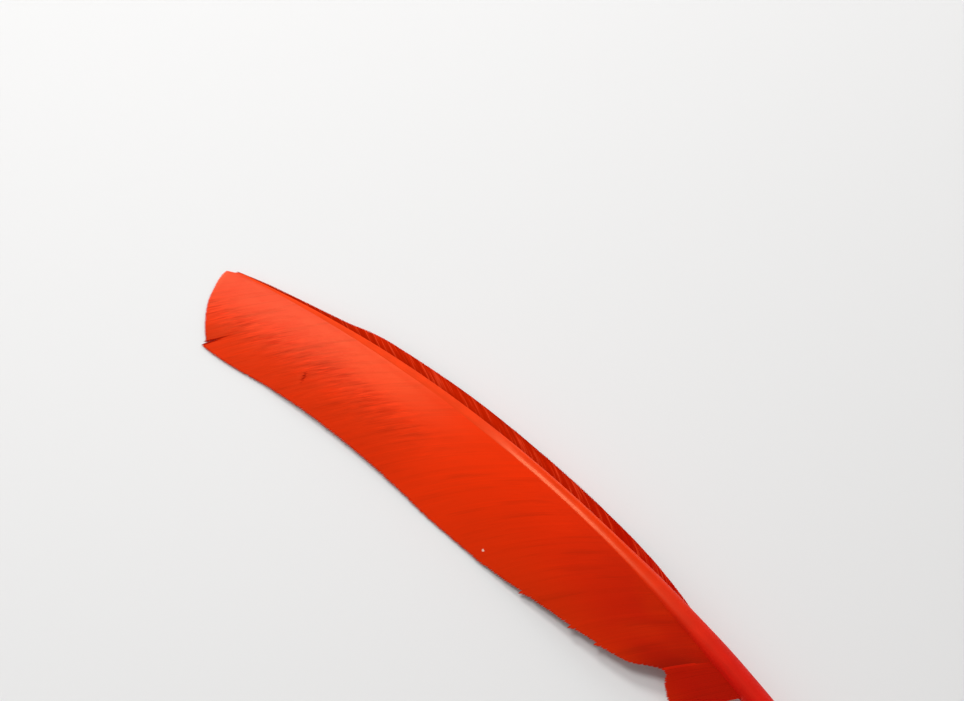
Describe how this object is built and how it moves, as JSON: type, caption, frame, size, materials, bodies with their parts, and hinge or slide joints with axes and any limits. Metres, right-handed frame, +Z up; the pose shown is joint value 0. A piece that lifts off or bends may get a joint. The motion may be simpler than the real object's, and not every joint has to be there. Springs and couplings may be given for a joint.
{
  "type": "turkey wing feather",
  "caption": "Dyed wing feather lying arched on a surface: a bare quill, a tapering grooved shaft, a broad cambered vane and a narrow vane that folds down.",
  "frame": {"origin": "centre of the bounding box seen from above, on the surface the feather lies on", "axes": "+X from the quill's root to the feather's tip, +Y towards the broad vane's side, +Z up, out of the arched back"},
  "size_m": [0.2858, 0.051, 0.0132],
  "materials": {
    "dyed_feather": "satin"
  },
  "bodies": {
    "root": {"feather": "dyed_feather"}
  },
  "joints": []
}
